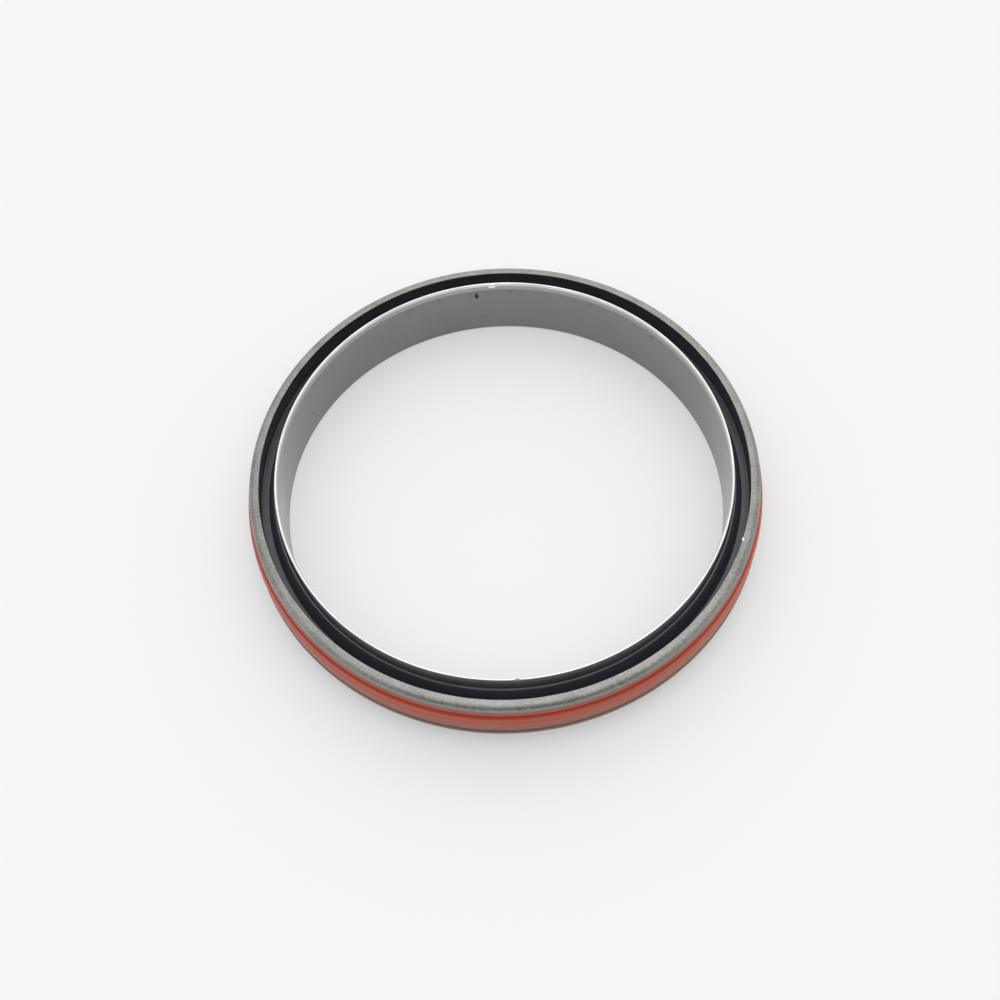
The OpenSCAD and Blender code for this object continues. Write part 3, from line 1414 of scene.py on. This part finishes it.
@dataclass
class WearSleeve:
    """The thin steel tube that turns in the lips.

    Attributes:
        outside_r: Outside radius.
        foot_z: Height of its foot.
        top_z: Height of its rim.
        wall: Thickness of its wall.
        lead_in_h: Depth of the taper in its mouth.
        lead_in_w: Widening of the mouth, on the radius.
        buff_h: How far down the taper the rim's bright finish reaches; part of that depth is a painted
            highlight for the glare round the rim.
        round_r: Radius of the rim's two edges.
        chamfer: Width and height of the chamfers at the foot.
    """

    outside_r: float
    foot_z: float
    top_z: float
    wall: float = 1.0
    lead_in_h: float = 2.2
    lead_in_w: float = 0.35
    buff_h: float = 0.75
    round_r: float = 0.25
    chamfer: tuple[float, float] = (0.3, 0.5)

    @classmethod
    def from_frame(cls) -> WearSleeve:
        """Sizes the sleeve from its node."""
        return cls(*reach_of("wear_sleeve"))

    @property
    def bore_r(self) -> float:
        """Radius of the bore."""
        return self.outside_r - self.wall

    def outline(self) -> Outline:
        """Gives the section of the sleeve.

        Returns:
            The section, from the inside of the foot outwards.
        """
        chamfer_w, chamfer_h = self.chamfer
        foot_edge, chamfer_edge, lead_in_round = 0.05, 0.08, 0.6
        buffed_w = self.lead_in_w * (1 - self.buff_h / self.lead_in_h)
        return Outline((
            Corner(self.bore_r, self.foot_z + chamfer_h, chamfer_edge),
            Corner(self.bore_r + chamfer_w, self.foot_z, foot_edge),
            Corner(self.outside_r - chamfer_w, self.foot_z, foot_edge),
            Corner(self.outside_r, self.foot_z + chamfer_h, chamfer_edge),
            Corner(self.outside_r, self.top_z, self.round_r),
            Corner(self.bore_r + self.lead_in_w, self.top_z, self.round_r),
            Corner(self.bore_r + buffed_w, self.top_z - self.buff_h),
            Corner(self.bore_r, self.top_z - self.lead_in_h, lead_in_round),
        ))

    def build(self) -> bpy.types.Object:
        """Makes the sleeve, with the nicks on its rim, the spots on its bore and a bright scrape.

        Returns:
            The dressed sleeve.
        """
        mouth_r, scrape_drop = self.bore_r + self.lead_in_w, 1.05
        flaws = (
            Mark(157.2, mouth_r + 0.2, self.top_z, width=0.7, reach=0.5, push=(0.1, -0.35)),
            Mark(159.4, mouth_r, self.top_z, width=0.4, reach=0.4, push=(-0.12, 0.0)),
            Mark(90.5, mouth_r, self.top_z, width=0.9, reach=0.4, push=(-0.4, 0.0)),
            Mark(-89.5, self.outside_r, self.top_z, width=0.8, reach=0.45, push=(-0.15, -0.3)),
        )
        spots = (
            Spot(94.8, self.bore_r, z=17.2, size=0.65, colour="33312f", tall=2.4),
            Spot(152.0, self.bore_r, z=8.3, size=0.4),
            Spot(90.5, mouth_r, self.top_z - scrape_drop, size=1.4, colour="efefed", tall=0.5),
        )
        # The bright finish reaches down to bright_z, deeper than the buffing alone, as a painted highlight
        # for the glare round the rim
        bright_z, lead_in_z = self.top_z - self.buff_h, self.top_z - self.lead_in_h
        ring = TurnedRing("wear_sleeve_tube", self.outline(), flaws, polished_z=bright_z)
        steel = GroundSteel(lead_in_z=lead_in_z, outside_r=self.outside_r, spots=spots)
        return dress(ring.build(), Body.SLEEVE, Slot.SLEEVE, "wear_sleeve", steel, PolishedRim())


@dataclass(frozen=True)
class Glow:
    """A soft bright or dark patch of the room.

    Attributes:
        way: Where it is.
        edge: Cosine of the angle between its middle and its edge.
        gain: What its middle adds to the room's brightness.
    """

    way: tuple[float, float, float]
    edge: float
    gain: float


@dataclass
class Studio:
    """Pale floor, soft light and the camera at the photograph's angle.

    Attributes:
        camera_y: How far the camera stands in front of the seal's axis.
        camera_z: How high the camera stands.
        aim: Where its axis meets the floor.
        roll: How far the camera is turned about its axis, in degrees.
        lens: Focal length on a sensor 36 mm wide.
        floor_size: Side of the floor.
        table_glow: How strongly the table is lit from below.
        ambient: Brightness of the room's walls.
        backdrop: Brightness of the sheet that is seen past the floor.
        glows: Brighter and darker patches of the room.
        softbox: Where the softbox hangs.
        softbox_size: Its side.
        softbox_power: Its power, in watts.
    """

    camera_y: float = -199.4
    camera_z: float = 358.4
    aim: tuple[float, float] = (-1.6, 0.86)
    roll: float = -3.54
    lens: float = 49.03
    floor_size: float = 40000.0
    table_glow: float = 0.36
    ambient: float = 0.55
    backdrop: float = 0.92
    glows: tuple[Glow, ...] = (
        Glow((0.0, 0.0, 1.0), 0.5, 0.62),
        Glow((0.1, 0.88, 0.46), 0.5, 0.62),
        Glow((0.0, -0.94, 0.34), 0.5, -0.28),
        Glow((0.98, 0.0, 0.2), 0.6, 0.16),
        Glow((-0.98, 0.0, 0.2), 0.6, 0.16),
    )
    softbox: tuple[float, float, float] = (30.0, 10.0, 900.0)
    softbox_size: float = 400.0
    softbox_power: float = 0.5

    def _lay_floor(self) -> None:
        """Makes the floor: a sheet of white acrylic, matt above and faintly lit from below."""
        half = self.floor_size / 2 * MM
        corners = [(-half, -half, 0), (half, -half, 0), (half, half, 0), (-half, half, 0)]
        mesh = bpy.data.meshes.new("floor")
        mesh.from_pydata(corners, [], [(0, 1, 2, 3)])
        floor = bpy.data.objects.new("floor", mesh)
        bpy.context.scene.collection.objects.link(floor)
        made = bpy.data.materials.new("white_acrylic")
        made.use_nodes = True
        tree = made.node_tree
        tree.nodes.clear()
        sockets = {"Base Color": linear("c8c8c8"), "Roughness": 0.85, "Specular IOR Level": 0.2}
        sockets |= {"Emission Color": linear("ffffff"), "Emission Strength": self.table_glow}
        shader = add_node(tree, "ShaderNodeBsdfPrincipled", sockets)
        add_node(tree, "ShaderNodeOutputMaterial", {"Surface": shader.outputs[0]})
        mesh.materials.append(made)

    def _light_room(self) -> None:
        """Makes the light of a white room: bright above, at the back and at the sides, darker in front."""
        world = bpy.data.worlds.new("white_room")
        world.use_nodes = True
        tree = world.node_tree
        tree.nodes.clear()
        way = add_node(tree, "ShaderNodeTexCoord", {}).outputs["Generated"]
        total: Any = self.ambient
        for glow in self.glows:
            facing = add_node(tree, "ShaderNodeVectorMath", {0: way, 1: glow.way}, operation="DOT_PRODUCT")
            rise = {"Value": facing.outputs["Value"], "From Min": glow.edge, "From Max": 1.0}
            rise |= {"To Min": 0.0, "To Max": glow.gain}
            lobe = add_node(tree, "ShaderNodeMapRange", rise, interpolation_type="SMOOTHSTEP").outputs[0]
            total = add_node(tree, "ShaderNodeMath", {0: total, 1: lobe}, operation="ADD").outputs[0]
        white = linear("ffffff")
        sky = add_node(tree, "ShaderNodeBackground", {"Color": white, "Strength": total})
        # Seen past the floor's edge, the room is a plain white sheet, as bright as the floor
        sheet = add_node(tree, "ShaderNodeBackground", {"Color": white, "Strength": self.backdrop})
        seen = add_node(tree, "ShaderNodeLightPath", {}).outputs["Is Camera Ray"]
        room = add_node(tree, "ShaderNodeMixShader", {0: seen, 1: sky.outputs[0], 2: sheet.outputs[0]})
        add_node(tree, "ShaderNodeOutputWorld", {"Surface": room.outputs[0]})
        bpy.context.scene.world = world

    def _hang_softbox(self) -> None:
        """Hangs a square softbox over the seal, facing it."""
        light = bpy.data.lights.new("ceiling_light", "AREA")
        light.size = self.softbox_size * MM
        light.energy = self.softbox_power
        box = bpy.data.objects.new("ceiling_light", light)
        box.location = Vector(self.softbox) * MM
        box.rotation_euler = (-box.location).to_track_quat("-Z", "Y").to_euler()
        bpy.context.scene.collection.objects.link(box)

    def _place_camera(self) -> None:
        """Places the camera where the photograph was taken from."""
        lens = bpy.data.cameras.new("camera")
        lens.lens = self.lens
        lens.clip_start = 0.02
        camera = bpy.data.objects.new("camera", lens)
        bpy.context.scene.collection.objects.link(camera)
        place = Vector((0, self.camera_y, self.camera_z)) * MM
        ahead = Vector((*self.aim, 0)) * MM - place
        turned = ahead.to_track_quat("-Z", "Y").to_matrix() @ Matrix.Rotation(math.radians(self.roll), 3, "Z")
        camera.matrix_world = Matrix.Translation(place) @ turned.to_4x4()
        bpy.context.scene.camera = camera

    def build(self) -> None:
        """Makes the floor, the light and the camera."""
        self._lay_floor()
        self._light_room()
        self._hang_softbox()
        self._place_camera()
        bpy.context.scene.view_settings.view_transform = "Standard"
        LOG.info("studio: floor, white room and camera")


class OilSeal:
    """The whole seal, whose pieces are sized from the frame and from each other."""

    def build(self) -> list[bpy.types.Object]:
        """Builds every piece, from the outside in.

        Returns:
            The dressed pieces.
        """
        case = OuterCase.from_frame()
        sleeve = WearSleeve.from_frame()
        inner = InnerCase.from_frame(sleeve.outside_r)
        spring = GarterSpring.from_frame()
        lips = LipElement.from_frame(case, spring.coil, sleeve.outside_r, inner.top_z)
        band = SealBand.from_frame(case)
        return [part.build() for part in (case, band, inner, lips, spring, sleeve)]


def main() -> None:
    """Loads the frame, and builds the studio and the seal."""
    logging.basicConfig(level=logging.INFO, format="%(name)s: %(message)s")
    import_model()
    Studio().build()
    LOG.info("oil seal: %d pieces", len(OilSeal().build()))


if __name__ == "__main__":
    main()
